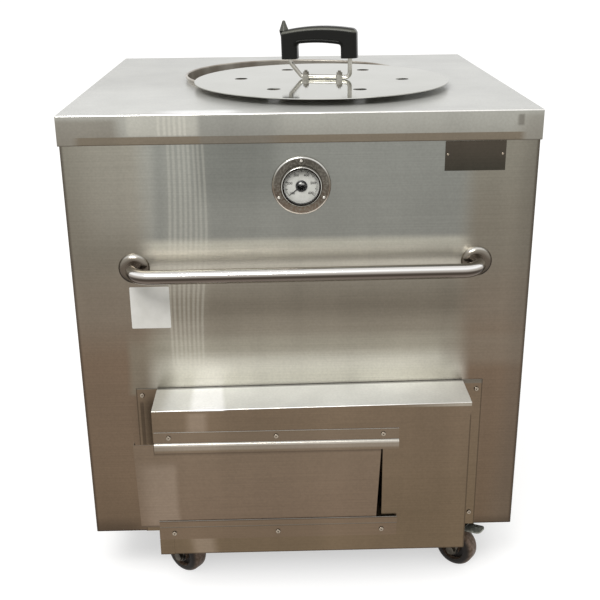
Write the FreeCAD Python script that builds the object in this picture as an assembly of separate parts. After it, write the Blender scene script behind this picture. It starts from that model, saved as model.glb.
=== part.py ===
import FreeCAD, Part
import math
import os

os.makedirs("parts", exist_ok=True)

# Cabinet: width and depth over the aprons of the top cover, heights above the floor
cabinet_width = 818.0
cabinet_depth = 813.0
top_height = 922.0
skirt_height = 111.0
sheet = 1.5
bend_radius = 3.0
panel_inset = 4.0
side_inset = 2.5
panel_return = 25.0
panel_lap = 18.0
fit_gap = 0.3
pin_gap = 0.05

# Apron of the top cover, whose lower hem kicks in between the corners
apron_height = 51.5
hem_height = 14.0
hem_kick = 2.0
side_hem_kick = 0.6
hem_corner = 22.0
hem_blend = 24.0

# Mouth of the oven
mouth_radius = 221.0
mouth_setback = 12.0
lip_height = 12.0
lip_bead = 2.5
collar_wall = 2.0
collar_depth = 70.0
collar_flange = 27.0

# Clay pot, its seal, hearth and insulation
seal_height = 10.0
seal_width = 26.0
pot_wall = 28.0
pot_mouth_radius = 205.0
pot_belly_radius = 290.0
pot_foot_radius = 240.0
pot_belly_share = 0.45
hearth_rise = 10.0
soft_gap = 0.5

# Base of angle iron on a plate, with corner posts
base_plate_thick = 3.0
angle_leg = 40.0
angle_thick = 4.0
post_leg = 30.0
post_thick = 3.0

# Charcoal grate on four feet
grate_radius = 195.0
grate_rise = 130.0
grate_thick = 14.0
grate_rim = 18.0
grate_slot = 16.0
grate_bar = 14.0
grate_foot = 9.0
grate_foot_circle = 150.0

# Air duct between the draft box and the port of the pot
duct_width = 176.0
duct_height = 116.0
duct_wall = 2.0
duct_flange = 20.0
duct_flange_space = 12.0

# Draft box on the front panel, set a little to the right of the middle
box_width = 565.5
box_offset = 12.75
box_bottom = 121.0
box_top_left = 418.0
box_top_right = 424.0
box_depth = 93.5
box_flange_left = 39.0
box_flange_right = 37.5
box_tab_width = 26.0
box_tab_thick = 1.0
flange_screw_inset = 11.0
flange_screw_low = 138.0
flange_screw_high = 405.0

# Sliding door and the Z rails that hold it
door_groove = 4.0
door_play = 0.5
door_edge_play = 0.9
door_overhang = 31.7
door_width = 438.5
door_skew = 8.0
door_lean = 4.0
door_hem = 12.0
door_pull = 14.0
rail_end_gap = 1.7
door_rail_length = 436.0
upper_rail_height = 355.0
upper_flange = 21.0
upper_lip = 18.0
lower_rail_height = 180.0
lower_flange = 26.0
lower_lip = 15.5
window_inset = 92.0
window_width = 317.5
window_cover_high = 12.0
window_cover_low = 7.0
rail_screw_pitch = 191.0
rail_screw_start = 26.0

# Pan head screws
screw_radius = 2.0
screw_head = 4.5
screw_head_high = 2.2
screw_crown = 2.3
screw_length = 7.0

# Push rail across the front, set a little to the right of the middle and higher at its right end
push_rail_drop = 269.7
push_rail_rise = 2.9
push_rail_span = 604.0
push_rail_offset = 6.5
push_rail_radius = 12.7
push_rail_wall = 1.5
push_rail_reach = 52.5
push_rail_bend = 36.0
rosette_radius = 27.5
rosette_high = 9.0
rosette_edge = 1.0
rail_stud_radius = 5.0
rail_stud_length = 20.0
rail_nut_flats = 17.0
rail_nut_high = 8.0

# Dial thermometer in the front panel
gauge_drop = 125.0
gauge_flange_radius = 50.8
gauge_flange_edge = 2.5
gauge_rise = 14.0
gauge_lip = 1.7
gauge_lip_dip = 0.6
gauge_dish = 2.0
gauge_window_radius = 30.7
gauge_case_radius = 32.0
gauge_case_depth = 35.0
gauge_bezel_wall = 2.6
gauge_dial_level = 4.0
gauge_dial_thick = 0.8
gauge_glass_thick = 2.0
gauge_case_wall = 1.5
gauge_pin_radius = 1.0
gauge_pin_depth = 6.0
gauge_bearing_depth = 8.0
gauge_hub_radius = 10.0
gauge_hub_high = 2.6
gauge_needle = 25.0
gauge_needle_width = 1.8
gauge_needle_thick = 0.6
gauge_needle_angle = 218.0
gauge_stem_radius = 4.0
gauge_stem_length = 190.0
gauge_nut_radius = 42.0
gauge_nut_high = 6.0

# Lid, lying on the lip of the mouth and drawn forward and to the right
lid_radius = 246.0
lid_thick = 1.5
lid_aside = 47.5
lid_forward = 108.0
vent_radius = 12.5
vent_circle = 157.0
vent_count = 6
vent_start = -6.0
handle_turn = -13.0
handle_aside = 4.0
handle_rise = 39.5
bail_rod = 4.3
bail_arm_left = 56.5
bail_arm_right = 60.5
bail_bend = 9.0
bail_foot = 34.0
bail_socket = 18.0
bail_eye = 7.5
stud_reach_left = 26.0
stud_reach_right = 40.0
stud_radius = 3.0
stud_nut_flats = 11.0
stud_nut_high = 5.0
stud_tip = 3.0
stud_head_radius = 7.0
stud_head_high = 3.0
grip_left = -72.5
grip_right = 75.5
grip_leg = 31.7
grip_depth = 30.0
grip_tilt = 1.6
grip_bar_top = 60.5
grip_bar_under = 29.5
grip_right_drop = 7.0
grip_left_drop = 8.0
grip_end_round = 11.0
grip_under_drop = 4.5
grip_left_under_drop = 1.5
grip_under_round = 5.5
grip_round = 9.0
horn_inset = 5.5
horn_foot = 34.0
horn_foot_radius = 5.5
horn_waist = 53.0
horn_radius = 9.2
horn_neck = 68.6
horn_tip_radius = 3.4

# Swivel casters
caster_inset_x = 136.6
caster_inset_y = 65.3
caster_turn = -38.0
caster_trail = 46.0
caster_plate_x = 95.0
caster_plate_y = 76.0
caster_plate_thick = 3.0
caster_bolt_x = 35.0
caster_bolt_y = 27.0
caster_bolt_radius = 4.0
caster_bolt_flats = 13.0
caster_bolt_head = 5.3
caster_bolt_grip = 3.5
race_radius = 22.0
race_high = 5.7
king_pin_radius = 6.0
king_pin_head = 10.0
king_pin_head_high = 4.0
crown_thick = 4.0
fork_wall = 3.0
fork_front = 24.0
fork_leg_front = 10.0
fork_tail = 24.0
fork_shoulder = 12.0
fork_boss = 11.0
wheel_radius = 40.0
wheel_width = 38.0
wheel_shoulder = 13.0
wheel_rim = 24.0
wheel_web = 20.0
wheel_hub = 14.0
wheel_side_gap = 1.0
axle_radius = 5.0
axle_head_flats = 16.0
axle_head_high = 5.0
pedal_behind = 15.0
pedal_pivot_z = 87.0
pedal_reach = 40.0
pedal_tilt = 9.0
pedal_width = 28.0
pedal_thick = 3.0
pedal_round = 8.4
pedal_hub = 5.0
pedal_pin = 2.5
cam_radius = 3.0
cam_reach = 8.9
cam_lean = 2.0

# Places worked out from the sizes above; the origin is under the middle of the whole object
half_width = cabinet_width / 2
half_depth = cabinet_depth / 2
side_face = half_width - side_inset
panel_reach = half_depth - panel_inset
front_reach = panel_reach + box_depth + door_groove + sheet
centre_y = (front_reach - half_depth) / 2
front_face = centre_y - panel_reach
rear_face = centre_y + panel_reach
box_face = front_face - box_depth
top_under = top_height - sheet
gauge_height = top_height - gauge_drop
base_top = skirt_height + base_plate_thick
frame_top = base_top + angle_leg
hearth_top = frame_top + hearth_rise
base_half_x = side_face - 2 * sheet - fit_gap
base_half_y = panel_reach - sheet - fit_gap
fill_half_x = base_half_x - angle_thick - fit_gap
fill_half_y = base_half_y - angle_thick - fit_gap
pot_y = centre_y + mouth_setback
lip_top = top_height + lip_height
collar_bottom = top_height - collar_depth
pot_top = collar_bottom - seal_height
pot_belly = hearth_top + pot_belly_share * (pot_top - hearth_top)
pot_radii = (pot_foot_radius, pot_belly_radius, pot_mouth_radius)
duct_floor = hearth_top + duct_wall
duct_roof = duct_floor + duct_height + duct_wall
lid_bottom = lip_top + fit_gap
lid_top = lid_bottom + lid_thick
lid_y = centre_y - lid_forward
handle_x = lid_aside - handle_aside
eye_top = 2 * bail_rod + fit_gap
push_rail_ends = [
    (push_rail_offset - push_rail_span / 2, top_height - push_rail_drop),
    (push_rail_offset + push_rail_span / 2, top_height - push_rail_drop + push_rail_rise),
]
box_left = box_offset - box_width / 2
box_right = box_left + box_width
hood_back = front_face - sheet - fit_gap
rail_left = box_left + rail_end_gap
rail_right = rail_left + door_rail_length
window_left = box_left + window_inset
window_right = window_left + window_width
window_top = upper_rail_height - window_cover_high
window_bottom = lower_rail_height + window_cover_low
caster_spread_x = half_width - caster_inset_x
caster_spread_y = half_depth - caster_inset_y
pedal_pivot_x = caster_trail + pedal_behind
plate_under = skirt_height - caster_plate_thick
crown_top = plate_under - race_high - fit_gap
crown_under = crown_top - crown_thick
fork_inner = wheel_width / 2 + 2 * wheel_side_gap
fork_outer = fork_inner + fork_wall
UP = FreeCAD.Vector(0, 0, 1)
FORWARD = FreeCAD.Vector(0, -1, 0)
ALONG_X = FreeCAD.Vector(1, 0, 0)
CABINET_AXIS = FreeCAD.Vector(0, centre_y, 0)


def vec(x, y, z):
    return FreeCAD.Vector(x, y, z)


def block(x0, x1, y0, y1, z0, z1):
    return Part.makeBox(x1 - x0, y1 - y0, z1 - z0, vec(x0, y0, z0))


def rod(radius, start, end):
    axis = end - start
    return Part.makeCylinder(radius, axis.Length, start, axis)


def upright_rod(radius, x, y, z0, z1):
    return rod(radius, vec(x, y, z0), vec(x, y, z1))


def level_rod(radius, x, z, y0, y1):
    """Rod that runs front to back."""
    return rod(radius, vec(x, y0, z), vec(x, y1, z))


def centred_block(half_x, half_y, z0, z1):
    """Block about the middle of the cabinet."""
    return block(-half_x, half_x, centre_y - half_y, centre_y + half_y, z0, z1)


def hexagon(flats, start, end):
    """Hexagonal prism between two points, as a nut or a bolt head."""
    axis = end - start
    side = axis.cross(UP)
    if side.Length < 1e-6:
        side = axis.cross(ALONG_X)
    side.normalize()
    other = axis.cross(side)
    other.normalize()
    corner = flats / math.sqrt(3)
    angles = [math.radians(60 * k) for k in range(7)]
    points = [start + side * (corner * math.cos(a)) + other * (corner * math.sin(a)) for a in angles]
    return Part.Face(Part.makePolygon(points)).extrude(axis)


def outline(steps, place):
    """Face from points; a step of two points is an arc through the first to the second."""
    here = steps[0]
    edges = []
    for step in steps[1:] + [steps[0]]:
        if isinstance(step[0], tuple):
            middle, end = step
            edges.append(Part.Arc(place(*here), place(*middle), place(*end)).toShape())
        else:
            end = step
            edges.append(Part.LineSegment(place(*here), place(*end)).toShape())
        here = end
    return Part.Face(Part.Wire(edges))


def rounded_to(start, end):
    """Step of an outline that leaves its start straight out and comes square to its end."""
    share = math.sqrt(0.5)
    middle = (end[0] + (start[0] - end[0]) * share, start[1] + (end[1] - start[1]) * share)
    return middle, end


def turned_upright(steps, x, y):
    """Solid of revolution about a vertical axis from (radius, height) steps."""
    face = outline(steps, lambda r, z: vec(x + r, y, z))
    return face.revolve(vec(x, y, 0), UP, 360)


def turned_on_front(steps, x, z, face_y):
    """Solid of revolution about an axis square to the front, from (radius, distance out) steps."""
    face = outline(steps, lambda r, out: vec(x + r, face_y - out, z))
    return face.revolve(vec(x, face_y, z), FORWARD, 360)


def rounded_path(points, radius):
    """Wire of straight runs joined by tangent arcs of one radius."""
    edges = []
    start = points[0]
    for before, corner, after in zip(points, points[1:], points[2:]):
        back = (before - corner).normalize()
        ahead = (after - corner).normalize()
        half_turn = (math.pi - back.getAngle(ahead)) / 2
        cut = radius * math.tan(half_turn)
        leave = corner + back * cut
        join = corner + ahead * cut
        inward = (back + ahead).normalize()
        middle = corner + inward * (radius / math.cos(half_turn) - radius)
        edges.append(Part.LineSegment(start, leave).toShape())
        edges.append(Part.Arc(leave, middle, join).toShape())
        start = join
    edges.append(Part.LineSegment(start, points[-1]).toShape())
    return Part.Wire(edges)


def swept_rod(path, radius):
    first = path.Edges[0]
    start = first.valueAt(first.FirstParameter)
    ring = Part.Wire([Part.makeCircle(radius, start, first.tangentAt(first.FirstParameter))])
    return path.makePipeShell([ring], True, False)


def upright_edges(shape, x, y):
    """Edges of the shape that stand upright at one place in plan."""
    found = []
    for edge in shape.Edges:
        if all(abs(v.X - x) < 1e-4 and abs(v.Y - y) < 1e-4 for v in edge.Vertexes):
            found.append(edge)
    return found


def edges_along_x(shape, y, z):
    """Edges of the shape that run left to right at one place in side view."""
    found = []
    for edge in shape.Edges:
        if all(abs(v.Y - y) < 1e-4 and abs(v.Z - z) < 1e-4 for v in edge.Vertexes):
            found.append(edge)
    return found


def edges_along_y(shape, x, z):
    """Edges of the shape that run front to back at one place in front view."""
    found = []
    for edge in shape.Edges:
        if all(abs(v.X - x) < 1e-4 and abs(v.Z - z) < 1e-4 for v in edge.Vertexes):
            found.append(edge)
    return found


def fused(pieces):
    return pieces[0].multiFuse(pieces[1:]).removeSplitter()


def save(name, shape):
    shape.exportStep(os.path.join("parts", name + ".step"))


def caster_places():
    """Names and swivel axes of the four casters."""
    places = []
    for end, y in (("front", centre_y - caster_spread_y), ("rear", centre_y + caster_spread_y)):
        for side, x in (("left", -caster_spread_x), ("right", caster_spread_x)):
            places.append((end + "_" + side, x, y))
    return places


def caster_bolt_places():
    places = []
    for _, x, y in caster_places():
        for dx in (-caster_bolt_x, caster_bolt_x):
            for dy in (-caster_bolt_y, caster_bolt_y):
                places.append((x + dx, y + dy))
    return places


def flange_screw_places():
    left = box_left - box_flange_left + flange_screw_inset
    right = box_right + box_flange_right - flange_screw_inset
    return [(x, z) for x in (left, right) for z in (flange_screw_low, flange_screw_high)]


def rail_screw_places():
    upper = upper_rail_height + upper_flange / 2
    lower = lower_rail_height - lower_flange / 2
    columns = [rail_left + rail_screw_start + k * rail_screw_pitch for k in range(3)]
    return [(x, z) for z in (upper, lower) for x in columns]


def front_holes(places, radius):
    """Drills square to the front, long enough for the panel and what is screwed to it."""
    reach = box_depth + panel_return
    return [level_rod(radius, x, z, front_face + panel_return, front_face - reach) for x, z in places]


def make_base_plate():
    plate = centred_block(base_half_x, base_half_y, skirt_height, base_top)
    drill = caster_bolt_radius + pin_gap
    holes = [upright_rod(drill, x, y, skirt_height, base_top) for x, y in caster_bolt_places()]
    return plate.cut(holes)


def make_base_frame():
    """Ring of angle iron, one leg upright at the edge and one flat on the base plate."""
    inner_x = base_half_x - angle_thick
    inner_y = base_half_y - angle_thick
    open_x = base_half_x - angle_leg
    open_y = base_half_y - angle_leg
    ring = centred_block(base_half_x, base_half_y, base_top, frame_top)
    above = centred_block(inner_x, inner_y, base_top + angle_thick, frame_top)
    middle = centred_block(open_x, open_y, base_top, frame_top)
    drill = caster_bolt_radius + pin_gap
    holes = [upright_rod(drill, x, y, base_top, frame_top) for x, y in caster_bolt_places()]
    screws = front_holes(flange_screw_places(), screw_radius + pin_gap)
    return ring.cut([above, middle] + holes + screws)


def make_corner_post(side, end):
    """Angle upright in one corner; side and end are -1 or 1 for left or right, front or rear."""
    corner_x = side * (side_face - 2 * sheet)
    corner_y = centre_y + end * (panel_reach - sheet)
    along_x = sorted((corner_x, corner_x - side * post_leg))
    along_y = sorted((corner_y, corner_y - end * post_leg))
    thick_x = sorted((corner_x, corner_x - side * post_thick))
    thick_y = sorted((corner_y, corner_y - end * post_thick))
    top = top_under - sheet
    first = block(along_x[0], along_x[1], thick_y[0], thick_y[1], frame_top, top)
    second = block(thick_x[0], thick_x[1], along_y[0], along_y[1], frame_top, top)
    return fused([first, second])


def make_folded_panel():
    """Front or rear sheet, standing with its outer face on y = 0 and its edges folded back."""
    face = block(-side_face, side_face, 0, sheet, skirt_height, top_under)
    left = block(-side_face, -side_face + sheet, 0, panel_return, skirt_height, top_under)
    right = block(side_face - sheet, side_face, 0, panel_return, skirt_height, top_under)
    top = block(-side_face, side_face, 0, panel_return, top_under - sheet, top_under)
    panel = fused([face, left, right, top])
    corners = upright_edges(panel, -side_face, 0) + upright_edges(panel, side_face, 0)
    return panel.makeFillet(bend_radius, corners)


def make_front_panel():
    panel = make_folded_panel().translate(vec(0, front_face, 0))
    gauge = front_holes([(0, gauge_height)], gauge_case_radius + fit_gap)
    studs = front_holes(push_rail_ends, rail_stud_radius + pin_gap)
    screws = front_holes(flange_screw_places(), screw_radius + pin_gap)
    return panel.cut(gauge + studs + screws + [duct_bore(front_face - sheet)])


def make_rear_panel():
    panel = make_folded_panel()
    panel.rotate(vec(0, 0, 0), UP, 180)
    return panel.translate(vec(0, rear_face, 0))


def make_side_panel(side):
    """Side sheet between the folded edges of front and rear, with laps welded inside them."""
    outer = sorted((side * side_face, side * (side_face - sheet)))
    inner = sorted((side * (side_face - sheet), side * (side_face - 2 * sheet)))
    inward = sorted((side * side_face, side * (side_face - panel_return)))
    start = front_face + panel_return
    stop = rear_face - panel_return
    wall = block(outer[0], outer[1], start, stop, skirt_height, top_under)
    top = block(inward[0], inward[1], start, stop, top_under - sheet, top_under)
    lap_top = top_under - sheet
    front_lap = block(inner[0], inner[1], start - panel_lap, start + panel_lap, skirt_height, lap_top)
    rear_lap = block(inner[0], inner[1], stop - panel_lap, stop + panel_lap, skirt_height, lap_top)
    return fused([wall, top, front_lap, rear_lap])


def apron_hem(half_length, reach, kick, turn):
    """Lower hem of one apron and the straight strip it takes the place of."""
    low = top_height - apron_height
    high = low + hem_height
    outer_stop = half_length - hem_corner
    inner_stop = outer_stop - hem_blend
    sections = []
    for x, shift in ((-outer_stop, 0), (-inner_stop, kick), (inner_stop, kick), (outer_stop, 0)):
        foot = -reach + shift
        corners = [(-reach, high), (foot, low), (foot + sheet, low), (-reach + sheet, high)]
        points = [vec(x, y, z) for y, z in corners]
        sections.append(Part.makePolygon(points + points[:1]))
    hem = Part.makeLoft(sections, True, True)
    strip = block(-outer_stop, outer_stop, -reach - sheet, -reach + 2 * sheet, low - sheet, high)
    for shape in (hem, strip):
        shape.rotate(vec(0, 0, 0), UP, turn)
        shape.translate(CABINET_AXIS)
    return hem, strip


def make_top_cover():
    """Square tray turned over, with rounded folds, the mouth cut out and the hems kicked in."""
    low = top_height - apron_height
    y0 = centre_y - half_depth
    y1 = centre_y + half_depth
    tray = block(-half_width, half_width, y0, y1, low, top_height)
    folds = [e for e in tray.Edges if max(v.Z for v in e.Vertexes) > low]
    tray = tray.makeFillet(bend_radius, folds)
    inside = block(-half_width + sheet, half_width - sheet, y0 + sheet, y1 - sheet, low, top_under)
    mouth = upright_rod(mouth_radius + collar_wall + pin_gap, 0, pot_y, low, top_height)
    cover = tray.cut([inside, mouth])
    for turn in (0, 180):
        hem, strip = apron_hem(half_width, half_depth, hem_kick, turn)
        cover = cover.cut(strip).fuse(hem)
    for turn in (90, 270):
        hem, strip = apron_hem(half_depth, half_width, side_hem_kick, turn)
        cover = cover.cut(strip).fuse(hem)
    return cover.removeSplitter()


def make_mouth_collar():
    """Ring through the top cover, rolled over at its lip and flanged under the sheet."""
    outer = mouth_radius + collar_wall
    bead_z = lip_top - lip_bead
    bead_r = mouth_radius + lip_bead
    slope = math.sqrt(0.5) * lip_bead
    flange_low = top_under - collar_wall
    neck_z = bead_z - math.sqrt(lip_bead ** 2 - (lip_bead - collar_wall) ** 2)
    steps = [
        (mouth_radius, collar_bottom), (mouth_radius, bead_z),
        ((bead_r - slope, bead_z + slope), (bead_r, lip_top)),
        ((bead_r + lip_bead, bead_z), (outer, neck_z)),
        (outer, top_under), (outer + collar_flange, top_under),
        (outer + collar_flange, flange_low), (outer, flange_low), (outer, collar_bottom),
    ]
    return turned_upright(steps, 0, pot_y)


def make_pot_rim_seal():
    inner = mouth_radius + collar_wall / 2 - seal_width / 2
    outer = inner + seal_width
    steps = [(inner, pot_top), (outer, pot_top), (outer, collar_bottom), (inner, collar_bottom)]
    return turned_upright(steps, 0, pot_y)


def barrel(radii, gap):
    """Solid barrel through three radii at foot, belly and mouth of the pot, grown by a gap."""
    foot, belly, mouth = [r + gap for r in radii]
    steps = [(0, hearth_top), (foot, hearth_top), ((belly, pot_belly), (mouth, pot_top)), (0, pot_top)]
    return turned_upright(steps, 0, pot_y)


def pot_core(gap):
    """Solid barrel as large as the outside of the pot, grown by a gap."""
    return barrel(pot_radii, pot_wall + gap)


def duct_bore(start):
    """Clear way of the duct, from a plane near the front to the middle of the pot."""
    half = duct_width / 2
    return block(-half, half, start, pot_y, duct_floor, duct_floor + duct_height)


def make_clay_pot():
    """Fired clay barrel with a port for air at its foot and a hole for the thermometer stem."""
    stem = level_rod(gauge_stem_radius + soft_gap, 0, gauge_height, front_face, pot_y)
    return pot_core(0).cut([barrel(pot_radii, 0), duct_bore(front_face), stem])


def make_hearth_slab():
    return centred_block(fill_half_x, fill_half_y, base_top + angle_thick, hearth_top)


def make_insulation():
    """Packed fill from the hearth to the rim of the pot, cleared for what passes through it."""
    fill = centred_block(fill_half_x, fill_half_y, hearth_top, pot_top)
    half = duct_width / 2 + duct_wall + soft_gap
    roof = duct_roof + soft_gap
    duct_way = block(-half, half, front_face, pot_y, hearth_top, roof)
    flange = half + duct_flange
    flange_end = front_face + duct_flange_space
    flange_way = block(-flange, flange, front_face, flange_end, hearth_top, roof + duct_flange)
    case_end = front_face + gauge_case_depth + soft_gap
    case_way = level_rod(gauge_nut_radius + soft_gap, 0, gauge_height, front_face, case_end)
    stem_way = level_rod(gauge_stem_radius + soft_gap, 0, gauge_height, front_face, pot_y)
    ways = [pot_core(soft_gap), duct_way, flange_way, case_way, stem_way]
    for x, z in push_rail_ends:
        end = front_face + sheet + rail_stud_length + soft_gap
        ways.append(level_rod(rail_nut_flats, x, z, front_face, end))
    return fill.cut(ways)


def make_charcoal_grate():
    """Round cast grate that passes the mouth of the pot, slotted between its bars, on four feet."""
    low = hearth_top + grate_rise
    high = low + grate_thick
    field_radius = grate_radius - grate_rim
    disc = upright_rod(grate_radius, 0, pot_y, low, high)
    field = upright_rod(field_radius, 0, pot_y, low, high)
    pitch = grate_slot + grate_bar
    count = int(field_radius / pitch)
    slots = []
    for k in range(-count, count + 1):
        x = k * pitch
        half = grate_slot / 2
        slot = block(x - half, x + half, pot_y - grate_radius, pot_y + grate_radius, low, high)
        slots.append(field.common(slot))
    feet = []
    for k in range(4):
        angle = math.radians(45 + 90 * k)
        x = grate_foot_circle * math.cos(angle)
        y = pot_y + grate_foot_circle * math.sin(angle)
        feet.append(upright_rod(grate_foot, x, y, hearth_top, high))
    return fused([disc.cut(slots)] + feet)


def make_air_duct():
    """Square sheet duct, flanged behind the front panel and trimmed to the round of the pot."""
    half = duct_width / 2 + duct_wall
    start = front_face + sheet
    tube = block(-half, half, start, pot_y, hearth_top, duct_roof)
    wide = half + duct_flange
    flange = block(-wide, wide, start, start + duct_wall, hearth_top, duct_roof + duct_flange)
    return fused([tube, flange]).cut([duct_bore(front_face), pot_core(soft_gap)])


def hood_block(inset, start, end):
    """Block between two depths, as wide as the hood, inset from its floor and its sloping roof."""
    low = box_bottom + inset
    right_top = (box_right, box_top_right - inset)
    left_top = (box_left, box_top_left - inset)
    points = [vec(x, start, z) for x, z in ((box_left, low), (box_right, low), right_top, left_top)]
    return Part.Face(Part.makePolygon(points + points[:1])).extrude(vec(0, end - start, 0))


def make_draft_box():
    """Hood folded from one sheet: roof, front with a window, and floor, open at its back and sides."""
    shell = hood_block(0, box_face, hood_back).cut(hood_block(sheet, box_face + sheet, hood_back))
    front_edges = [e for e in shell.Edges if all(abs(v.Y - box_face) < 1e-4 for v in e.Vertexes)]
    fold = [e for e in front_edges if min(v.Z for v in e.Vertexes) > box_top_left - sheet]
    shell = shell.makeFillet(sheet, fold)
    tab_top = lower_rail_height - lower_flange - fit_gap
    tab = block(box_left, box_left + box_tab_width, box_face - box_tab_thick, box_face, box_bottom, tab_top)
    window = block(window_left, window_right, box_face, box_face + sheet, window_bottom, window_top)
    screws = front_holes(rail_screw_places(), screw_radius + pin_gap)
    return fused([shell, tab]).cut([window] + screws)


def make_box_cheek(edge, top, side, flange):
    """Side wall of the hood with its flange on the front panel; side is -1 or 1 for left or right."""
    wall = sorted((edge, edge - side * sheet))
    foot = sorted((edge + side * flange, edge - side * sheet))
    slab = block(wall[0], wall[1], box_face, front_face, box_bottom, top + sheet)
    upright = hood_block(sheet, box_face + sheet, front_face).common(slab)
    flat = block(foot[0], foot[1], front_face - sheet, front_face, skirt_height, top)
    return fused([upright, flat]).cut(front_holes(flange_screw_places(), screw_radius + pin_gap))


def make_screw(x, z, face_y):
    """Pan head screw standing on a face, its shank running back through the sheets."""
    rim = (screw_head, screw_head_high / 2)
    steps = [
        (0, -screw_length), (screw_radius, -screw_length), (screw_radius, 0), (screw_head, 0), rim,
        rounded_to(rim, (screw_crown, screw_head_high)), (0, screw_head_high),
    ]
    return turned_on_front(steps, x, z, face_y)


def make_door_rail(fold, flange, lip, toward_door):
    """Z rail: a flange on the box, a step outwards and a lip over the edge of the door."""
    face = box_face
    outer = face - door_groove - sheet
    step_z = sorted((fold, fold + toward_door * sheet))
    flange_z = sorted((fold + toward_door * sheet, fold - toward_door * flange))
    lip_z = sorted((fold, fold + toward_door * lip))
    pieces = [
        block(rail_left, rail_right, face - sheet, face, *flange_z),
        block(rail_left, rail_right, outer, face, *step_z),
        block(rail_left, rail_right, outer, outer + sheet, *lip_z),
    ]
    rail = fused(pieces)
    rail = rail.makeFillet(door_groove - fit_gap, edges_along_x(rail, outer, fold))
    rail = rail.makeFillet(sheet, edges_along_x(rail, outer + sheet, fold + toward_door * sheet))
    return rail.cut(front_holes(rail_screw_places(), screw_radius + pin_gap))


def make_sliding_door():
    """Door sheet hemmed at top and bottom, its left edge folded back as a pull; both ends lean a little."""
    front = box_face - door_play - 2 * sheet
    left = box_left - door_overhang
    right = left + door_width
    low = lower_rail_height + sheet + door_edge_play
    high = upper_rail_height - sheet - door_edge_play

    def left_at(z):
        return left - door_lean * (z - low) / (high - low)

    def right_at(z):
        return right - door_skew * (high - z) / (high - low)

    def leaf(bottom, top, depth, end_at):
        low_edge = [vec(left_at(bottom), front, bottom), vec(end_at(bottom), front, bottom)]
        high_edge = [vec(end_at(top), front, top), vec(left_at(top), front, top)]
        points = low_edge + high_edge
        return Part.Face(Part.makePolygon(points + points[:1])).extrude(vec(0, depth, 0))

    face = leaf(low, high, sheet, right_at)
    lower_hem = leaf(low, low + door_hem, 2 * sheet, right_at)
    upper_hem = leaf(high - door_hem, high, 2 * sheet, right_at)
    pull = leaf(low, high, door_pull, lambda z: left_at(z) + sheet)
    return fused([face, lower_hem, upper_hem, pull])


def make_push_rail():
    """Bent tube closed at both ends, with a stud at each end for the nuts behind the panel."""
    (left, left_z), (right, right_z) = push_rail_ends
    out = front_face - push_rail_reach
    left_corners = [vec(left, front_face, left_z), vec(left, out, left_z)]
    right_corners = [vec(right, out, right_z), vec(right, front_face, right_z)]
    path = rounded_path(left_corners + right_corners, push_rail_bend)
    tube = swept_rod(path, push_rail_radius).cut(swept_rod(path, push_rail_radius - push_rail_wall))
    pieces = [tube]
    for x, z in push_rail_ends:
        plug_end = front_face - 2 * push_rail_wall
        pieces.append(level_rod(push_rail_radius, x, z, front_face, plug_end))
        pieces.append(level_rod(rail_stud_radius, x, z, plug_end, front_face + sheet + rail_stud_length))
    return fused(pieces)


def make_rosette(x, z):
    """Domed cover ring where the tube meets the panel."""
    bore = push_rail_radius + pin_gap
    rim = (rosette_radius, rosette_edge)
    crown = (bore + rosette_edge, rosette_high)
    steps = [(bore, 0), (rosette_radius, 0), rim, rounded_to(rim, crown), (bore, rosette_high)]
    return turned_on_front(steps, x, z, front_face)


def make_rail_nut(x, z):
    start = vec(x, front_face + sheet, z)
    end = vec(x, front_face + sheet + rail_nut_high, z)
    return hexagon(rail_nut_flats, start, end).cut(rod(rail_stud_radius + pin_gap, start, end))


def make_gauge_bezel():
    """Dished flange rising to a lip that holds the glass."""
    bore = gauge_case_radius + pin_gap
    lip_under = gauge_rise - gauge_lip
    crest = bore + gauge_bezel_wall
    rim = (gauge_flange_radius, gauge_flange_edge / 2)
    rim_top = (gauge_flange_radius - gauge_flange_edge, 2 * gauge_flange_edge)
    lip_start = (crest, lip_under)
    steps = [
        (bore, 0), (gauge_flange_radius, 0), rim, rounded_to(rim, rim_top),
        (crest + gauge_dish, 2 * gauge_flange_edge + gauge_dish), lip_start,
        rounded_to(lip_start, (bore, gauge_rise)), (gauge_window_radius, gauge_rise - gauge_lip_dip),
        (gauge_window_radius, lip_under), (bore, lip_under),
    ]
    return turned_on_front(steps, 0, gauge_height, front_face)


def make_gauge_case():
    """Can behind the dial, with a rim that carries the glass and a bearing for the pointer."""
    glass_under = gauge_rise - gauge_lip - gauge_glass_thick
    inner = gauge_case_radius - gauge_case_wall
    bearing = gauge_pin_radius + pin_gap
    bearing_end = gauge_dial_level - gauge_bearing_depth
    steps = [
        (0, -gauge_case_depth), (gauge_case_radius, -gauge_case_depth), (gauge_case_radius, glass_under),
        (inner, glass_under), (inner, gauge_dial_level), (bearing, gauge_dial_level),
        (bearing, bearing_end), (0, bearing_end),
    ]
    return turned_on_front(steps, 0, gauge_height, front_face)


def make_gauge_dial():
    inner = gauge_pin_radius + pin_gap
    outer = gauge_case_radius - gauge_case_wall - pin_gap
    top = gauge_dial_level + gauge_dial_thick
    steps = [(inner, gauge_dial_level), (outer, gauge_dial_level), (outer, top), (inner, top)]
    return turned_on_front(steps, 0, gauge_height, front_face)


def make_gauge_glass():
    low = gauge_rise - gauge_lip - gauge_glass_thick
    high = gauge_rise - gauge_lip
    steps = [(0, low), (gauge_case_radius, low), (gauge_case_radius, high), (0, high)]
    return turned_on_front(steps, 0, gauge_height, front_face)


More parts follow.
